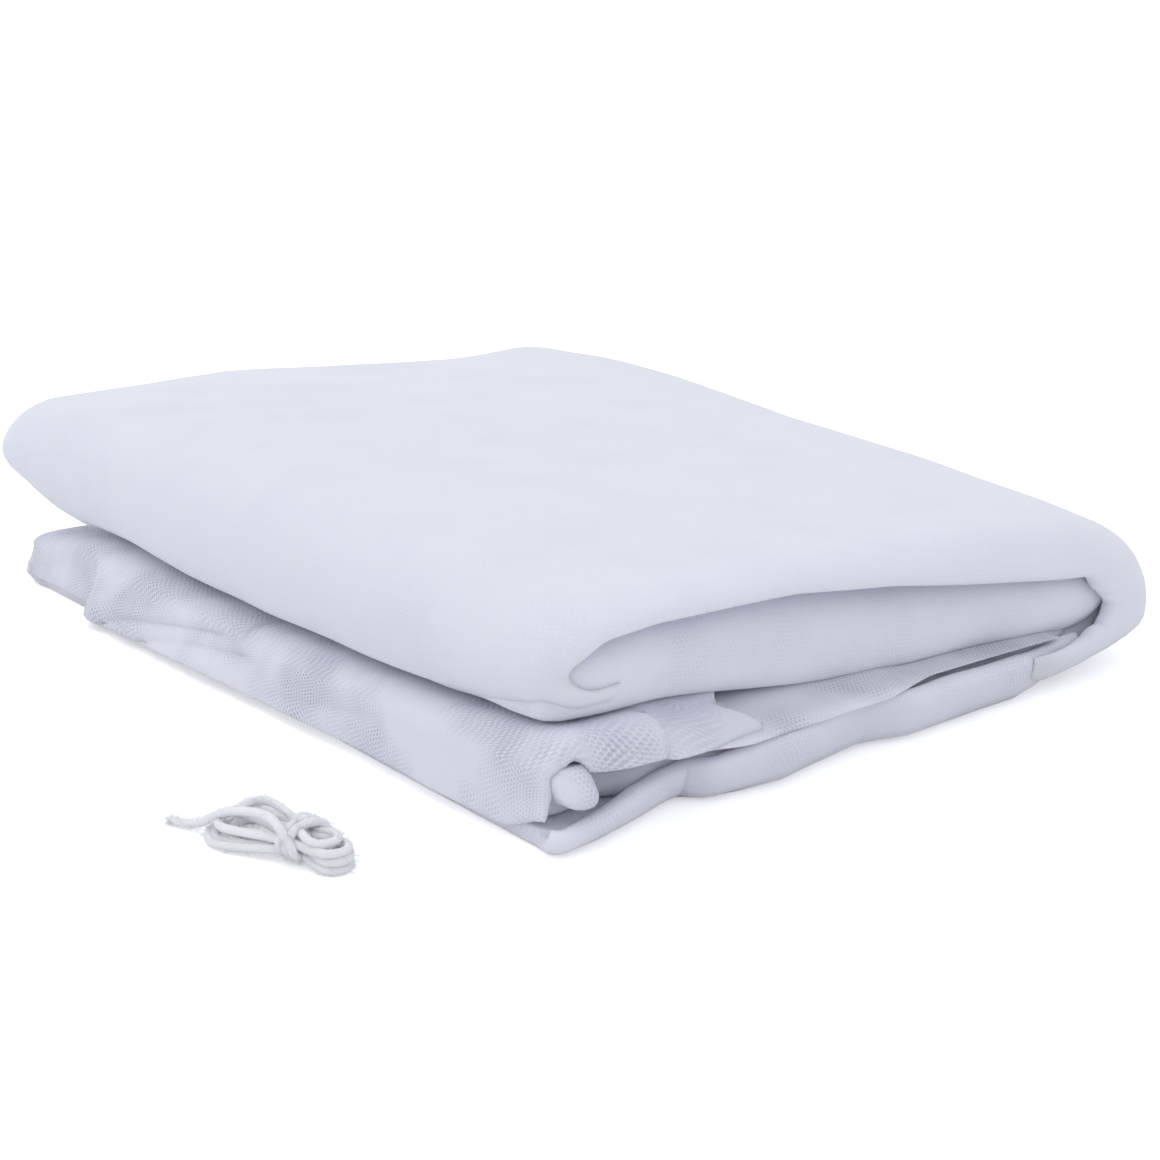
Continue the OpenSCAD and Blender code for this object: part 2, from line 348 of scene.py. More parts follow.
def lay(line, front, back, columns=44, centre=None):
    """The middle face of a band of netting that follows a line in X and Z.
    front and back give each point's (half width, reach, drop); the edges hang to the left of
    the line, or towards a centre where the band turns round it."""
    way = np.gradient(line, axis=0)
    way /= np.linalg.norm(way, axis=1)[:, None]
    out = np.c_[way[:, 1], -way[:, 0]]
    if centre:
        aim = np.c_[np.minimum(line[:, 0], centre[0]), np.full(len(line), centre[1])]
        away = (line - aim) / np.linalg.norm(line - aim, axis=1)[:, None]
        out = np.where(line[:, :1] > centre[0] - 0.05, away, out)
    rows = []
    for place, normal, near, far in zip(line, out, front, back):
        y_front, fall_front = half_row(*near[:3], columns, *near[3:])
        y_back, fall_back = half_row(*far[:3], columns, *far[3:])
        y = np.r_[-y_front, y_back[::-1][1:]]
        fall = np.r_[fall_front, fall_back[::-1][1:]]
        rows.append(np.c_[place[0] - normal[0] * fall, y, place[1] - normal[1] * fall])
    return np.array(rows)


def face_normals(middle):
    """The way each point of a face looks, square to it."""
    normals = np.cross(np.gradient(middle, axis=0), np.gradient(middle, axis=1))
    return normals / np.maximum(np.linalg.norm(normals, axis=2), 1e-12)[..., None]


def run_along(face, axis):
    """Distance along a face from its first edge."""
    steps = np.linalg.norm(np.diff(face, axis=axis), axis=2)
    zero = np.zeros_like(np.take(steps, [0], axis=axis))
    return np.concatenate([zero, np.cumsum(steps, axis=axis)], axis=axis)


def run_from_edge(middle, axis):
    """Distance along the face from the nearer of its two edges."""
    run = run_along(middle, axis)
    total = np.take(run, [-1], axis=axis)
    return np.minimum(run, total - run)


def run_from_middle(face, axis):
    """Distance along the face from its middle, less than 0 before it."""
    run = run_along(face, axis)
    return run - np.take(run, [run.shape[axis] // 2], axis=axis)


def soft_slab(name, middle, half, rim=None, roundness=2.0, shape=None):
    """A closed piece of stacked netting: its middle face, its half thickness, and round edges.
    The weave attribute is the place on the cloth in metres, which the netting pattern follows."""
    half = np.broadcast_to(half, middle.shape[:2]).copy()
    rim = half.max() if rim is None else rim
    rims = rim if isinstance(rim, tuple) else (rim, rim)
    for axis in (0, 1):
        inside = 1 - np.clip(run_from_edge(middle, axis) / rims[axis], 0, 1)
        half *= (1 - inside ** roundness) ** (1 / roundness)
    normals = face_normals(middle)
    over = middle + normals * half[..., None]
    under = middle - normals * half[..., None]
    if shape:
        over, under = shape(over), shape(under)
    rows, columns = half.shape
    index = np.arange(rows * columns).reshape(rows, columns)
    inner = np.zeros((rows, columns), bool)
    inner[1:-1, 1:-1] = True
    below = index.copy()
    below[inner] = rows * columns + np.arange(inner.sum())
    quads = []
    for grid, flip in ((index, False), (below, True)):
        corners = [grid[:-1, :-1], grid[1:, :-1], grid[1:, 1:], grid[:-1, 1:]]
        if flip:
            corners = corners[::-1]
        quads.append(np.stack(corners, axis=-1).reshape(-1, 4))
    points = np.concatenate([over.reshape(-1, 3), under[inner]])
    mesh = bpy.data.meshes.new(name)
    mesh.from_pydata(points.tolist(), [], np.concatenate(quads).tolist())
    mesh.update()

    across_over = run_from_middle(over, 1)
    across_under = run_from_middle(under, 1)
    span = across_over[:, [-1]] + across_under[:, [-1]]
    across_under = np.where(across_under > 0, span - across_under,
                            across_over[:, [0]] + across_under[:, [0]] - across_under)
    middle_column = middle[:, [columns // 2]]
    down = np.broadcast_to(run_from_middle(middle_column, 0), (rows, columns))
    weave = np.concatenate([
        np.stack([down, across_over, np.zeros_like(down)], axis=-1).reshape(-1, 3),
        np.stack([down, across_under, np.zeros_like(down)], axis=-1)[inner],
    ])
    attribute = mesh.attributes.new("weave", "FLOAT_VECTOR", "POINT")
    attribute.data.foreach_set("vector", weave.astype(np.float32).ravel())
    mesh.shade_smooth()
    piece = bpy.data.objects.new(name, mesh)
    bpy.context.scene.collection.objects.link(piece)
    return piece


# From hole to hole in metres, and from a row of holes to the next but one, in cells
CELL = 0.00203
CELL_ROW = math.sqrt(3)


def netting(name, colour, shadow, holes, relief_strength, least):
    """Knitted polyester netting seen in many layers: round holes in a honeycomb, one cell apart,
    clear in some patches and lost in others, over milky layers with their own fainter holes."""
    cloth = bpy.data.materials.new(name)
    link, add = tree_of(cloth)

    def vector_math(operation, first, second):
        node = add("VectorMath")
        node.operation = operation
        link(first, node.inputs[0])
        node.inputs[1].default_value = second
        return node.outputs[0]

    def honeycomb(source, turn, move):
        """Thread between the holes, 0 in a hole and 1 on the thread. The pattern is two grids of
        holes half a cell apart, moved far enough out that no place on the cloth is below 0."""
        spun = add("VectorRotate", Angle=turn)
        spun.rotation_type = "Z_AXIS"
        link(source, spun.inputs["Vector"])
        cells = vector_math("MULTIPLY", spun.outputs[0], (1 / CELL, 1 / CELL, 0))
        distances = []
        for offset in ((200 + move, 300, 0), (200.5 + move, 300 + CELL_ROW / 2, 0)):
            moved = vector_math("ADD", cells, offset)
            wrapped = vector_math("MODULO", moved, (1, CELL_ROW, 1))
            local = vector_math("SUBTRACT", wrapped, (0.5, CELL_ROW / 2, 0))
            length = add("VectorMath")
            length.operation = "LENGTH"
            link(local, length.inputs[0])
            distances.append(length.outputs["Value"])
        nearest = add("Math")
        nearest.operation = "MINIMUM"
        link(distances[0], nearest.inputs[0])
        link(distances[1], nearest.inputs[1])
        thread = add("MapRange")
        thread.interpolation_type = "SMOOTHSTEP"
        thread.inputs["From Min"].default_value = 0.26
        thread.inputs["From Max"].default_value = 0.47
        link(nearest.outputs[0], thread.inputs[0])
        return thread.outputs[0]

    weave = add("Attribute")
    weave.attribute_name = "weave"
    source = weave.outputs["Vector"]
    top_layer = honeycomb(source, 0.0, 0.0)
    next_layer = honeycomb(source, 0.14, 0.37)
    layers = add("Mix")
    layers.inputs[0].default_value = 0.38
    link(top_layer, layers.inputs[2])
    link(next_layer, layers.inputs[3])

    place = add("TexCoord")
    patches = add("TexNoise", Scale=26, Detail=2, Roughness=0.5)
    link(place.outputs["Object"], patches.inputs["Vector"])
    clear_part = add("MapRange")
    clear_part.inputs["From Min"].default_value = 0.42
    clear_part.inputs["From Max"].default_value = 0.64
    clear_part.inputs["To Min"].default_value = least
    link(patches.outputs[0], clear_part.inputs[0])
    shown = add("Math")
    shown.operation = "MULTIPLY"
    shown.inputs[1].default_value = holes
    link(clear_part.outputs[0], shown.inputs[0])

    # Painted shade: the holes are coloured towards the shadow colour, for the shaded layers seen
    # through them. The honeycomb of holes itself is the netting's real pattern.
    hollow = add("Math")
    hollow.operation = "SUBTRACT"
    hollow.inputs[0].default_value = 1
    link(layers.outputs[0], hollow.inputs[1])
    hole_shade = add("Math")
    hole_shade.operation = "MULTIPLY"
    link(hollow.outputs[0], hole_shade.inputs[0])
    link(shown.outputs[0], hole_shade.inputs[1])

    drift = add("TexNoise", Scale=9, Detail=3, Roughness=0.55)
    link(place.outputs["Object"], drift.inputs["Vector"])
    milk = add("Mix")
    milk.data_type = "RGBA"
    milk.inputs[6].default_value = (*[c * 0.965 for c in colour[:2]], colour[2] * 0.975, 1)
    milk.inputs[7].default_value = (*colour, 1)
    link(drift.outputs[0], milk.inputs[0])
    tone = add("Mix")
    tone.data_type = "RGBA"
    tone.inputs[7].default_value = (*shadow, 1)
    link(hole_shade.outputs[0], tone.inputs[0])
    link(milk.outputs[2], tone.inputs[6])

    relief = add("Bump", Distance=0.0005)
    raised = add("Math")
    raised.operation = "MULTIPLY"
    raised.inputs[1].default_value = relief_strength
    link(clear_part.outputs[0], raised.inputs[0])
    link(raised.outputs[0], relief.inputs["Strength"])
    link(layers.outputs[0], relief.inputs["Height"])
    skin = add("BsdfPrincipled", Roughness=0.88)
    # Light seeps a few millimetres through the open layers
    skin.inputs["Subsurface Weight"].default_value = 0.6
    skin.inputs["Subsurface Radius"].default_value = (1, 1, 1.1)
    skin.inputs["Subsurface Scale"].default_value = 0.006
    skin.inputs["Sheen Weight"].default_value = 0.25
    skin.inputs["Sheen Roughness"].default_value = 0.55
    skin.inputs["Specular IOR Level"].default_value = 0.25
    link(tone.outputs[2], skin.inputs["Base Color"])
    link(relief.outputs[0], skin.inputs["Normal"])
    link(skin.outputs[0], add("OutputMaterial").inputs[0])
    return cloth


# How the soft top half settles: crowned along its middle, lower towards its edges and corners,
# and sagging over the open side between its two ends.
EDGE_RISE_AT = [-0.152, -0.129, -0.107, -0.043, 0.061, 0.118]
EDGE_RISE = [-0.0050, -0.0020, 0.0005, 0.0045, 0.0010, -0.0010]
MIDDLE_RISE = [0.0, 0.0015, 0.0040, 0.0070, 0.0080, 0.0085]
SAG_AT = [-0.198, -0.163, -0.120, -0.074, 0.0, 0.062, 0.129, 0.155, 0.173, 0.190, 0.204]
SAG = [-0.0065, -0.0005, 0.0050, 0.0075, 0.0095, 0.0090, 0.0065, 0.0080, 0.0040, -0.0030, -0.0080]


def sag_at(x, y):
    return np.interp(y, SAG_AT, SAG) * (1 - ease(-0.125, 0.01, x))


def settle_top(points):
    x, y, z = points[..., 0], points[..., 1], points[..., 2]
    inward = np.clip(np.abs(y) / DEPTH, 0, 1) ** 2.6
    rise = (np.interp(x, EDGE_RISE_AT, EDGE_RISE) * inward
            + np.interp(x, EDGE_RISE_AT, MIDDLE_RISE) * (1 - inward))
    z = z + rise * ease(0.030, 0.075, z) - sag_at(x, y) * (1 - ease(0.040, 0.078, z))
    # The fold end stands fuller at the back, and the far corner of the open side is pulled out
    full = ease(-0.06, 0.20, y) * ease(0.085, 0.135, x) * ease(0.030, 0.056, z)
    ear = ease(0.140, 0.200, y) * (1 - ease(-0.152, -0.100, x)) * ease(0.030, 0.060, z)
    x, y, z = x + 0.017 * full - 0.005 * ear, y + 0.006 * ear, z + 0.0045 * full
    return np.stack([x, y, z], axis=-1)


def rounded(points, rounds=3):
    """The same line with its corners cut, again and again, until it is smooth."""
    points = np.array(points, float)
    for _ in range(rounds):
        near = points[:-1] * 0.75 + points[1:] * 0.25
        far = points[:-1] * 0.25 + points[1:] * 0.75
        cut = np.stack([near, far], axis=1).reshape(-1, 2)
        points = np.r_[points[:1], cut, points[-1:]]
    return points.tolist()


# Round the fold end the band is slack: it slumps low and full at the outside
turn_bulge = rounded([
    (0.084, 0.0040), (0.100, 0.0048), (0.118, 0.0076), (0.134, 0.0105), (0.1500, 0.0130),
    (0.1615, 0.0170),
    (0.1630, 0.0250), (0.1605, 0.0350), (0.1535, 0.0455), (0.1420, 0.0545), (0.1290, 0.0610),
    (0.1160, 0.0641),
])
roof_line = (
    turn_bulge
    + [(0.100, 0.0652)]
    + arc((FOLD_X, FOLD_Z), FOLD_R, 90, 270, 30)
    + [(-0.120, 0.0420)]
)
roof_line = along(roof_line, 0.0032, 0.004)
# How far each part of the edge hangs down: little over the open side, more towards the fold end
DROP_AT = [-0.129, -0.107, -0.082, -0.026, 0.005, 0.056, 0.100, 0.118]
DROP = [0.0050, 0.0052, 0.0066, 0.0085, 0.0095, 0.0140, 0.0180, 0.0190]


def fold_angle(x, z):
    """Degrees round the side fold, 90 on top and 270 underneath."""
    return math.degrees(math.atan2(z - FOLD_Z, x - FOLD_X)) % 360


def roof_edge(line, corner, wide, closed):
    """(half width, reach, drop, curl) of the roof panel's edge at each point of its line.
    At the side fold a closed edge, the back one, comes round over the pad's end."""
    rows = []
    for x, z in line:
        past = np.clip((fold_low.x + corner - x) / corner, 0, 1)
        width = wide - corner * (1 - math.sqrt(1 - past * past))
        if x < FOLD_X + 0.001 or (z < FOLD_Z and x < 0):
            turn = fold_angle(x, z) if x < FOLD_X + 0.001 else 270
            drop = np.interp(turn, [90, 150], [0.0050, 0.0080])
            reach = 0.013
            width -= np.interp(turn, [90, 150, 270], [0.0, 0.003, 0.004])
            if closed:
                drop, reach, width = 0.0110, 0.015, wide
        elif z < 0.020:
            # The lower lip of the fold end: it lies over the band, then closes the fold
            drop = np.interp(x, [0.084, 0.118, 0.136, 0.150, 0.161],
                             [0.0150, 0.0130, 0.0150, 0.0240, 0.0320])
            reach = 0.012
            width += 0.0040 * float(1 - ease(0.096, 0.130, x))
        elif x > HINGE_X:
            drop = np.interp(z, [0.020, 0.036, 0.050, 0.060, 0.064],
                             [0.0320, 0.0320, 0.0265, 0.0215, 0.0190])
            reach = 0.014
        else:
            drop = np.interp(x, DROP_AT, DROP)
            reach = 0.014
        curl = 90 + 25 * float(ease(0.100, 0.135, x))
        rows.append((width, reach, drop, curl))
    return rows


roof_middle = lay(roof_line, roof_edge(roof_line, 0.014, DEPTH, False),
                  roof_edge(roof_line, 0.006, DEPTH + 0.004, True), centre=(HINGE_X, HINGE_Z))
upper = ease(0.02, 0.06, roof_middle[..., 2])
normals = face_normals(roof_middle)
swell = (ripple(roof_middle, 0.085, 3.1) * 0.0016 + ripple(roof_middle, 0.034, 8.7) * 0.0005) * upper
# Soft slanting wrinkles in from the far corner of the open side
fold_run = (roof_middle[..., 0] + 0.10) * 0.82 - (roof_middle[..., 1] - 0.13) * 0.57
fold_side = (roof_middle[..., 0] + 0.10) * 0.57 + (roof_middle[..., 1] - 0.13) * 0.82
for offset, high, broad in ((-0.004, 0.0016, 0.011), (-0.034, 0.0010, 0.013)):
    ridge = np.exp(-((fold_side - offset - 0.10 * fold_run) / broad) ** 2)
    swell += high * ridge * np.exp(-((fold_run - 0.02) / 0.075) ** 2) * upper
roof_middle = roof_middle + normals * swell[..., None]
roof_half = np.full(roof_middle.shape[:2], ROOF_HALF)
roof_half *= (0.20 + 0.80 * ease(0.088, 0.130, roof_line[:, 0]) * (roof_line[:, 1] < HINGE_Z)
              + 0.75 * (roof_line[:, 1] >= HINGE_Z))[:, None].clip(0, 1)
at_fold = np.array([np.interp(fold_angle(x, z), [85, 135], [0, 1]) if x < FOLD_X + 0.012
                    and (x < FOLD_X or z < FOLD_Z) else 0.0 for x, z in roof_line])
near_edge = (1 - ease(0.0, 0.020, run_from_edge(roof_middle, 1))) * (roof_middle[..., 1] < 0)
roof_half = roof_half * (1 - 0.50 * at_fold[:, None] * near_edge)
roof_panel = soft_slab("roof_panel_over", roof_middle, roof_half, rim=ROOF_HALF,
                       shape=settle_top)
# Top netting: the faintest painted shade in its holes, as the top lies in the light.
top_netting = netting("netting_over", (0.82, 0.84, 0.90), (0.68, 0.69, 0.78), 0.26, 0.14, 0.05)
roof_panel.data.materials.append(top_netting)
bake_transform(roof_panel)
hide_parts("roof_panel_top", "roof_panel_turn")

# Wall layers under the roof panel, and the same layers where they come round the fold end.
# They are folded inside the roof panel, and their edges stand a little back from its edges.
head_line = along([(0.1035, 0.0549), (FOLD_X + 0.004, 0.0710)], 0.006, 0.004)
head_edge = [(0.180, 0.004, 0.0)] * len(head_line)
head_half = np.interp(head_line[:, 0], [FOLD_X, 0.116], [0.0047, 0.0058])[:, None]
head_middle = lay(head_line, head_edge, head_edge, 30)
head_wall = soft_slab("head_wall_layers", head_middle,
                      np.broadcast_to(head_half, head_middle.shape[:2]), shape=settle_top)
# Inner netting: a little paler than the top's, painted light for the recess under the roof panel's
# edge, with stronger painted shade in its holes.
inner_netting = netting("netting_inner", (0.84, 0.85, 0.92), (0.66, 0.67, 0.76), 0.46, 0.28, 0.06)
head_wall.data.materials.append(inner_netting)
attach(head_wall, "upper_half")
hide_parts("head_wall")

TURN_R = 0.0203
turn_line = (
    [(0.104, 0.0136)]
    + arc((HINGE_X + 0.003, HINGE_Z), TURN_R, -90, 90, 30)
    + [(0.112, 0.0543)]
)
turn_line = along(turn_line, 0.003, 0.004)
turn_edge = [(0.1905, 0.004, 0.0)] * len(turn_line)
foot_turn = soft_slab("foot_wall_turn_layers", lay(turn_line, turn_edge, turn_edge, 34), 0.0055,
                      shape=settle_top)
foot_turn.data.materials.append(inner_netting)
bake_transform(foot_turn)
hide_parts("foot_wall_turn")

# Inner pad: the end of the folded strip, tucked under the top band with a round free end at the
# turn. Its soft front face stands back in the shadow of the roof panel's edge.
PAD_END_X, PAD_HALF_DEPTH = -0.1435, 0.1895
PAD_UNDER = ([-0.129, -0.071, -0.020, 0.030, 0.118], [0.0390, 0.0328, 0.0264, 0.0222, 0.0188])
PAD_OVER = ([-0.129, -0.080, 0.0, 0.118], [0.0690, 0.0650, 0.0580, 0.0476])
pad_places = along([(PAD_END_X, 0.054), (0.1370, 0.034)], 0.004, 0.012)
pad_x = pad_places[:, 0]
pad_low = np.interp(pad_x, *PAD_UNDER)
pad_high = np.interp(pad_x, *PAD_OVER)
pad_line = np.c_[pad_x, (pad_low + pad_high) / 2]
pad_half = (pad_high - pad_low) / 2


def pad_edge(forward, corner):
    """Half width of the pad along its line, further out and then rounded at the open side."""
    rows = []
    for x in pad_x:
        wide = (PAD_HALF_DEPTH + forward * float(1 - ease(-0.132, -0.090, x))
                + 0.0045 * float(ease(0.060, 0.120, x)))
        past = np.clip((PAD_END_X + corner - x) / corner, 0, 1)
        rows.append((wide - corner * 0.55 * (1 - math.sqrt(1 - past * past)), 0.004, 0.0))
    return rows


def fill_fold(points):
    """The pad's two ends fill the side fold out to its own surface, then settle with it."""
    x, y, z = points[..., 0], points[..., 1], points[..., 2]
    out = ease(0.135, 0.186, np.abs(y)) * (1 - ease(-0.120, -0.085, x))
    z = z + out * (z - 0.054) * 0.10
    x = x - out * 0.0040 * np.clip((-0.10 - x) / 0.0435, 0, 1)
    return settle_top(np.stack([x, y, z], axis=-1))


pad_middle = lay(pad_line, pad_edge(0.0050, 0.022), pad_edge(0.0080, 0.008))
pad = soft_slab("far_wall_pad", pad_middle,
                np.broadcast_to(pad_half[:, None], pad_middle.shape[:2]), rim=(0.016, 0.012),
                roundness=2.3, shape=fill_fold)
pad.data.materials.append(inner_netting)
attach(pad, "upper_half")
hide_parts("far_wall")

# Bottom band: the roof panel's layers underneath, turned up along the front, and the foot wall's
# layers on them. Both lie flat on the ground and their front edge is wavy.
def settle_band(points):
    """The band's end lifts a little off the ground into the turn."""
    x, y, z = points[..., 0], points[..., 1], points[..., 2]
    return np.stack([x, y, z + 0.0045 * ease(0.080, 0.122, x)], axis=-1)


WAVE_AT = [-0.150, -0.131, -0.110, -0.096, -0.086, -0.079, -0.065, -0.048, -0.035, -0.011,
           -0.003, 0.010, 0.017, 0.060, 0.082, 0.098, 0.120]
WAVE = [0.2005, 0.1985, 0.1940, 0.1895, 0.1885, 0.1965, 0.1985, 0.2010, 0.1985, 0.1955,
        0.1945, 0.1975, 0.2000, 0.1985, 0.1985, 0.1955, 0.1920]
# How high the front edge turns up over the foot wall's layers
UPTURN_AT = [-0.150, -0.132, -0.114, -0.091, -0.075, -0.055, 0.0, 0.080, 0.120]
UPTURN = [0.0060, 0.0085, 0.0120, 0.0116, 0.0146, 0.0176, 0.0184, 0.0166, 0.0110]
BAND_END_X = -0.151
under_line = along([(BAND_END_X, 0.0039), (0.1205, 0.0039)], 0.003, 0.004)


def band_edge(line, widths, reach, turn_up, radius):
    """(half width, reach, turn-up) of a band's edge, with a rounded corner at the open side."""
    rows = []
    for x, z in line:
        past = np.clip((BAND_END_X + radius - x) / radius, 0, 1)
        rows.append((np.interp(x, WAVE_AT, widths) - radius * (1 - math.sqrt(1 - past * past)),
                     reach, np.interp(x, UPTURN_AT, turn_up)))
    return rows


under_front = band_edge(under_line, WAVE, 0.007, UPTURN, 0.005)
under_back = band_edge(under_line, [0.199] * len(WAVE), 0.007, UPTURN, 0.016)
under_middle = lay(under_line, under_front, under_back)
near_rim = ease(0.165, 0.192, np.abs(under_middle[..., 1]))
under_middle[..., 1] += (ripple(under_middle, 0.024, 21.0) * 0.0016
                         * near_rim * ease(0.004, 0.012, under_middle[..., 2]))
roof_under = soft_slab("roof_panel_beneath", under_middle, 0.0038, shape=settle_band)
# Lower netting: a darker shadow colour and stronger holes than the top's, painted shade of the band
# under the top half.
lower_netting = netting("netting_lower", (0.82, 0.83, 0.90), (0.62, 0.63, 0.73), 0.60, 0.35, 0.06)
roof_under.data.materials.append(lower_netting)
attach(roof_under, "lower_half")
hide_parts("roof_panel_under")

foot_line = along([(-0.1470, 0.0136), (0.119, 0.0136)], 0.0035, 0.004)
FLAT = [0.0] * len(UPTURN)
foot_front = band_edge(foot_line, [w - 0.0042 for w in WAVE], 0.004, FLAT, 0.012)
pocket = [row[0] - 0.008 * float(1 - ease(-0.122, -0.108, x))
          for row, (x, z) in zip(foot_front, foot_line)]
foot_front = [(width, 0.004, 0.0) for width in pocket]
foot_back = band_edge(foot_line, [0.194] * len(WAVE), 0.004, FLAT, 0.018)
foot_middle = lay(foot_line, foot_front, foot_back)
foot_middle[..., 2] += ripple(foot_middle, 0.05, 5.0) * 0.0006
foot_wall = soft_slab("foot_wall_layers", foot_middle, 0.0056, shape=settle_band)
foot_wall.data.materials.append(lower_netting)
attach(foot_wall, "lower_half")
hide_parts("foot_wall")

# Tucked flap of the near wall: three stepped leaves on the bottom band, thinner inwards. The top
# leaf also comes down over the open side. Each leaf's front edge hangs over the layer below.
LEAN_AT = [-0.198, -0.171, -0.129, -0.087, -0.048, -0.013, 0.034, 0.068, 0.094, 0.108, 0.116,
           0.124, 0.160, 0.200]
LEAN = [-0.0060, -0.0055, -0.0045, -0.0055, -0.0035, -0.0015, 0.0000, 0.0025, 0.0030, 0.0060,
        0.0050, -0.0060, -0.0070, -0.0050]


def settle_flap(points):
    """Follows the top half at the open side and the front, drops at the far corner, and leans."""
    x, y, z = points[..., 0], points[..., 1], points[..., 2]
    part = np.clip((z - 0.010) / 0.027, 0, 1)
    drop = np.maximum(sag_at(x, y), 0) * part
    corner = ease(0.135, 0.215, y) * (1 - ease(-0.11, -0.03, x))
    rise = np.minimum(sag_at(x, y), 0) * (y < 0) * ease(0.027, 0.036, z)
    z = z - drop - rise - corner * 0.62 * np.maximum(z - 0.004, 0)
    lean = np.interp(y, LEAN_AT, LEAN) * (1 - ease(-0.150, -0.110, x)) * (1 - ease(0.0, 0.040, z))
    lip = 0.0085 * (1 - ease(-0.195, -0.168, y)) * (1 - ease(0.004, 0.026, z))
    return np.stack([x - lean, y, z + lip], axis=-1)


def crown_front(face, high, low_x, high_x):
    """Raises a leaf just behind its front edge, up to the pad, between two places in X."""
    x, y = face[..., 0], face[..., 1]
    window = ease(low_x - 0.02, low_x, x) * (1 - ease(high_x, high_x + 0.02, x))
    face[..., 2] += high * window * np.exp(-((y + 0.176) / 0.013) ** 2)


def lean_corner(face, near_x, full_x, at_front, inside):
    """Moves a leaf's cut-off front corner along X: at_front on the front edge, inside behind it."""
    shift = np.interp(-face[..., 1], [0.185, 0.1985], [inside, at_front])
    face[..., 0] += shift * ease(near_x, full_x, face[..., 0])


LEAF_END_X = -0.150
# A slant that starts far past the leaf, so nothing is cut off
NO_SLANT = (9, 1)


def leaf_edges(line, width, reach, drop, slant_from, slant, back, back_drop, radius=0.0):
    """Front and back edges of a leaf whose front corner is cut off slantwise from slant_from.
    width and drop are tables of X and the value there."""
    front_rows, back_rows = [], []
    for x, z in line:
        past = np.clip((LEAF_END_X + radius - x) / radius, 0, 1) if radius else 0
        round_off = radius * (1 - math.sqrt(1 - past * past))
        cut = slant * float(np.clip((x - slant_from) / slant, 0, 1))
        front_rows.append((np.interp(x, *width) - cut - round_off, reach, np.interp(x, *drop)))
        back_rows.append((back - round_off, 0.004, back_drop))
    return front_rows, back_rows


# Leaf netting: the darkest shadow colour and the strongest holes, painted shade of the leaves and
# the open side. The mesh pattern there is real.
leaf_netting = netting("netting_leaf", (0.83, 0.84, 0.92), (0.50, 0.51, 0.62), 0.95, 0.55, 0.08)

bottom_line = along([(0.1044, 0.0208), (-0.136, 0.0225)], 0.004, 0.003)
edges = leaf_edges(bottom_line, ([-0.110, -0.098, -0.07, 0.005, 0.03],
                                 [0.182, 0.1960, 0.2020, 0.2020, 0.1975]), 0.005,
                   ([-0.09, -0.065, 0.0, 0.03], [0.0, 0.0034, 0.0030, 0.0]),
                   *NO_SLANT, 0.170, 0.0)
bottom_middle = lay(bottom_line, *edges)
bottom_half = np.interp(bottom_line[:, 0], [-0.136, -0.04, 0.01, 0.03, 0.1044],
                        [0.0026, 0.0020, 0.0015, 0.0008, 0.0004])
bottom_middle[..., 2] += np.interp(bottom_middle[..., 0], [-0.08, -0.05, 0.02, 0.06, 0.104],
                                   [0.0, 0.0014, 0.0018, 0.0012, 0.0])
crown_front(bottom_middle, 0.0034, -0.060, 0.010)
bottom_leaf = soft_slab("near_wall_leaf_bottom", bottom_middle,
                        np.broadcast_to(bottom_half[:, None], bottom_middle.shape[:2]),
                        shape=settle_flap)
bottom_leaf.data.materials.append(leaf_netting)
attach(bottom_leaf, "lower_half")
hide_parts("near_wall_bottom_leaf")

middle_line = along([(0.020, 0.0262), (-0.136, 0.0284)], 0.0028, 0.003)
edges = leaf_edges(middle_line, ([-0.114, -0.104], [0.184, 0.1985]), 0.007,
                   ([-0.112, -0.100, -0.072, -0.054], [0.0, 0.0068, 0.0068, 0.0]), -0.072, 0.030,
                   0.188, 0.002)
middle_leaf_face = lay(middle_line, *edges)
lean_corner(middle_leaf_face, -0.110, -0.074, 0.015, -0.0115)
crown_front(middle_leaf_face, 0.0050, -0.110, -0.050)
middle_half = np.interp(middle_line[:, 0], [-0.136, -0.06, 0.02], [0.0026, 0.0022, 0.0008])
middle_leaf = soft_slab("near_wall_leaf_middle", middle_leaf_face,
                        np.broadcast_to(middle_half[:, None], middle_leaf_face.shape[:2]),
                        shape=settle_flap)
middle_leaf.data.materials.append(leaf_netting)
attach(middle_leaf, "lower_half")
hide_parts("near_wall_middle_leaf")

top_line = (
    [(-0.067, 0.0318)]
    + arc((-0.1405, 0.0238), 0.0105, 88, 172, 14)
    + [(-0.1530, 0.0180), (-0.1560, 0.0100), (-0.1580, 0.0036)]
)
top_line = along(top_line, 0.0026, 0.002)
edges = leaf_edges(top_line, ([-0.16, -0.14], [0.1985, 0.1990]), 0.007,
                   ([-0.147, -0.139, -0.126, -0.114, -0.098], [0.0, 0.0060, 0.0085, 0.0090, 0.0010]),
                   -0.114, 0.024, 0.196, 0.004, 0.006)
top_leaf_face = lay(top_line, *edges)
lean_corner(top_leaf_face, -0.138, -0.116, 0.0095, -0.004)
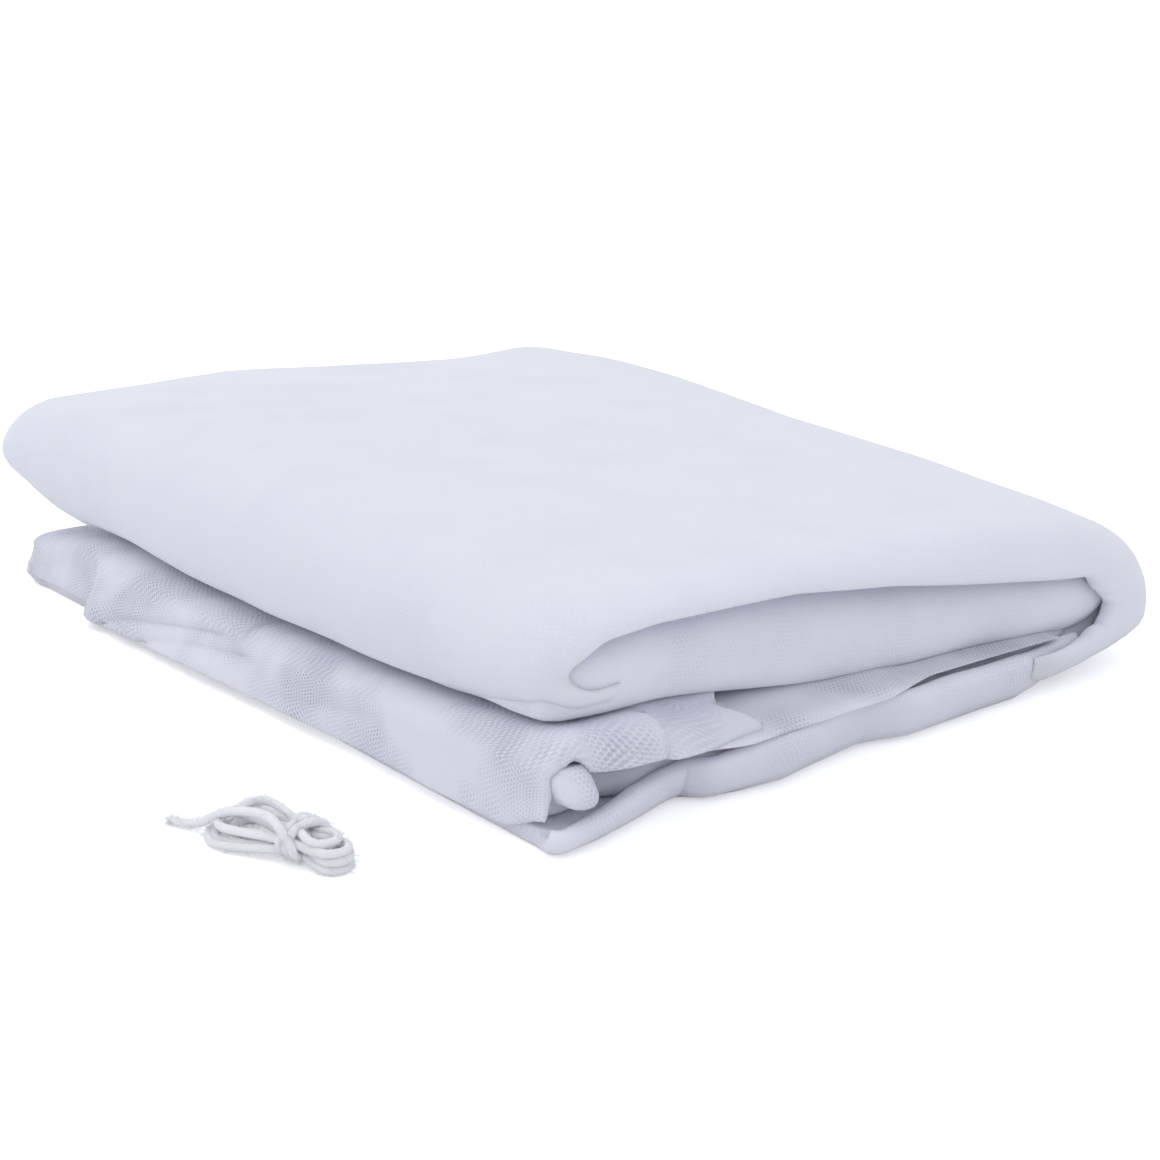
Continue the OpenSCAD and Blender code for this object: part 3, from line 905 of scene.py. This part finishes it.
# Soft creases that slant up the open side, and small swells between them
side_y, side_z = top_leaf_face[..., 1], top_leaf_face[..., 2]
creases = ripple(top_leaf_face, 0.028, 14.0) * 0.0011
for from_y, to_y, low_z, high_z, high in ((0.108, 0.012, 0.003, 0.027, 0.0026),
                                          (0.078, -0.004, 0.003, 0.021, 0.0022),
                                          (-0.020, -0.090, 0.006, 0.020, 0.0010)):
    ridge_z = low_z + (high_z - low_z) * np.clip((from_y - side_y) / (from_y - to_y), 0, 1) ** 0.8
    window = ease(to_y - 0.012, to_y + 0.012, side_y) * (1 - ease(from_y, from_y + 0.012, side_y))
    creases = creases + high * np.exp(-((side_z - ridge_z) / 0.0032) ** 2) * window
side_part = 1 - ease(-0.150, -0.138, top_leaf_face[..., 0])
top_leaf_face = top_leaf_face + face_normals(top_leaf_face) * (creases * side_part)[..., None]
top_half = np.interp(top_line[:, 0], [-0.158, -0.150, -0.12, -0.067],
                     [0.0020, 0.0024, 0.0024, 0.0008])
top_leaf = soft_slab("near_wall_leaf_top", top_leaf_face,
                     np.broadcast_to(top_half[:, None], top_leaf_face.shape[:2]),
                     shape=settle_flap)
top_leaf.data.materials.append(leaf_netting)
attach(top_leaf, "lower_half")
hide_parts("near_wall_top_leaf")

# Roll: the flap's folded edge, rolled up along the open side under the top leaf. Its end shows
# the rolled layers at the front corner.
roll_line = along([(-0.1515, 0.0186), (-0.1360, 0.0186)], 0.0012, 0.0075)
ROLL_X, ROLL_R = -0.14375, 0.0078
roll_front = []
for x, z in roll_line:
    off_middle = min(1, ((x - ROLL_X) / ROLL_R) ** 2)
    roll_front.append((0.2030 - 0.0070 * (1 - math.sqrt(1 - off_middle)), 0.001, 0.0))
roll_back = [(0.186, 0.001, 0.0)] * len(roll_line)
roll_face = lay(roll_line, roll_front, roll_back, 30)
roll_half = 0.0108 + ripple(roll_face, 0.016, 31.0) * 0.0008
roll = soft_slab("near_wall_rolled_edge", roll_face, roll_half, rim=(0.0078, 0.0042),
                 shape=settle_flap)
roll.data.materials.append(leaf_netting)
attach(roll, "lower_half")
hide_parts("near_wall_roll")

# Corner of the flap at the far end of the open side, pulled out past the bottom leaf.
corner_line = along([(-0.030, 0.0205), (-0.1500, 0.0225)], 0.004, 0.008)
corner_back = [0.208 - 0.025 * float(ease(-0.09, -0.03, x))
               - 0.018 * (1 - math.sqrt(1 - float(np.clip((-0.130 - x) / 0.0205, 0, 1)) ** 2))
               for x, z in corner_line]


def patch(line, y_low, y_high, columns=24):
    """The middle face of a narrow strip between two depths, flat across."""
    fractions = (1 - np.cos(np.linspace(0, math.pi, columns))) / 2
    rows = [np.c_[np.full(columns, x), low + (high - low) * fractions, np.full(columns, z)]
            for (x, z), low, high in zip(line, y_low, y_high)]
    return np.array(rows)


corner = soft_slab("near_wall_corner_ear",
                   patch(corner_line, [0.166] * len(corner_line), corner_back),
                   0.0052, rim=(0.010, 0.012), shape=settle_flap)
corner.data.materials.append(leaf_netting)
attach(corner, "lower_half")
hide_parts("near_wall_corner")

# Selvedges: the closer-knitted edges of the top and middle leaves, along their slanted ends.
# Each follows its leaf down over the front.
selvedge_parts = []
for face, line, slant_from, thick in (
    (top_leaf_face, top_line, -0.114, 0.0034), (middle_leaf_face, middle_line, -0.072, 0.0032),
):
    beside = (line[:, 0] > slant_from - 0.0010) & (line[:, 0] < slant_from + 0.016)
    part = soft_slab("near_wall_selvedge_strip", face[beside][:, :6], thick, rim=0.0012,
                     shape=settle_flap)
    selvedge_parts.append(part)
for part in bpy.data.objects:
    part.select_set(part in selvedge_parts)
bpy.context.view_layer.objects.active = selvedge_parts[0]
bpy.ops.object.join()
selvedges = bpy.context.object
selvedge_white = netting("netting_selvedge", (0.90, 0.91, 0.96), (0.74, 0.75, 0.82), 0.5, 0.8, 0.3)
selvedges.data.materials.clear()
selvedges.data.materials.append(selvedge_white)
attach(selvedges, "lower_half")
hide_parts("near_wall_selvedge")

# Binding tapes of the roof seam and the four hanging loops, woven polyester, pressed flat
# between the halves. The loops are doubled webbing.
def woven_tape():
    """Plain tape, finely ribbed both ways."""
    tape = bpy.data.materials.new("woven_tape")
    link, add = tree_of(tape)
    weave = add("Attribute")
    weave.attribute_name = "weave"
    ribs = []
    for direction in ("X", "Y"):
        wave = add("TexWave", Scale=160)
        wave.bands_direction = direction
        link(weave.outputs["Vector"], wave.inputs["Vector"])
        ribs.append(wave.outputs["Fac"])
    crossed = add("Math")
    crossed.operation = "MULTIPLY"
    link(ribs[0], crossed.inputs[0])
    link(ribs[1], crossed.inputs[1])
    tone = add("Mix")
    tone.data_type = "RGBA"
    tone.inputs[6].default_value = (0.76, 0.76, 0.80, 1)
    tone.inputs[7].default_value = (0.88, 0.88, 0.91, 1)
    link(crossed.outputs[0], tone.inputs[0])
    relief = add("Bump", Strength=0.7, Distance=0.0003)
    link(crossed.outputs[0], relief.inputs["Height"])
    skin = add("BsdfPrincipled", Roughness=0.85)
    skin.inputs["Sheen Weight"].default_value = 0.2
    link(tone.outputs[2], skin.inputs["Base Color"])
    link(relief.outputs[0], skin.inputs["Normal"])
    link(skin.outputs[0], add("OutputMaterial").inputs[0])
    return tape


tape_weave = woven_tape()
TAPE_FROM_X, LOOP_T, BINDING_T = -0.120, 0.0014, 0.0008
TAPES = {
    "corner_loop_1": "lower_half", "corner_loop_2": "lower_half", "corner_loop_3": "upper_half",
    "corner_loop_4": "upper_half", "roof_binding_lower": "lower_half",
    "roof_binding_upper": "upper_half",
}
for node, body in TAPES.items():
    low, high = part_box(node)
    # The lower ones stop short of the open side, where the flap turns down
    low.x = max(low.x, TAPE_FROM_X)
    thick = LOOP_T if "loop" in node else BINDING_T
    line = along([(low.x, high.z - thick / 2), (high.x, low.z + thick / 2)], 0.003, thick)
    strip = patch(line, [low.y] * len(line), [high.y] * len(line), 14)
    strip[..., 2] += ripple(strip, 0.02, 2.0) * 0.0002
    tape = soft_slab(node + "_tape", strip, thick / 2, rim=thick / 2,
                     shape=settle_flap if body == "lower_half" else settle_top)
    tape.data.materials.append(tape_weave)
    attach(tape, body)
    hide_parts(node)
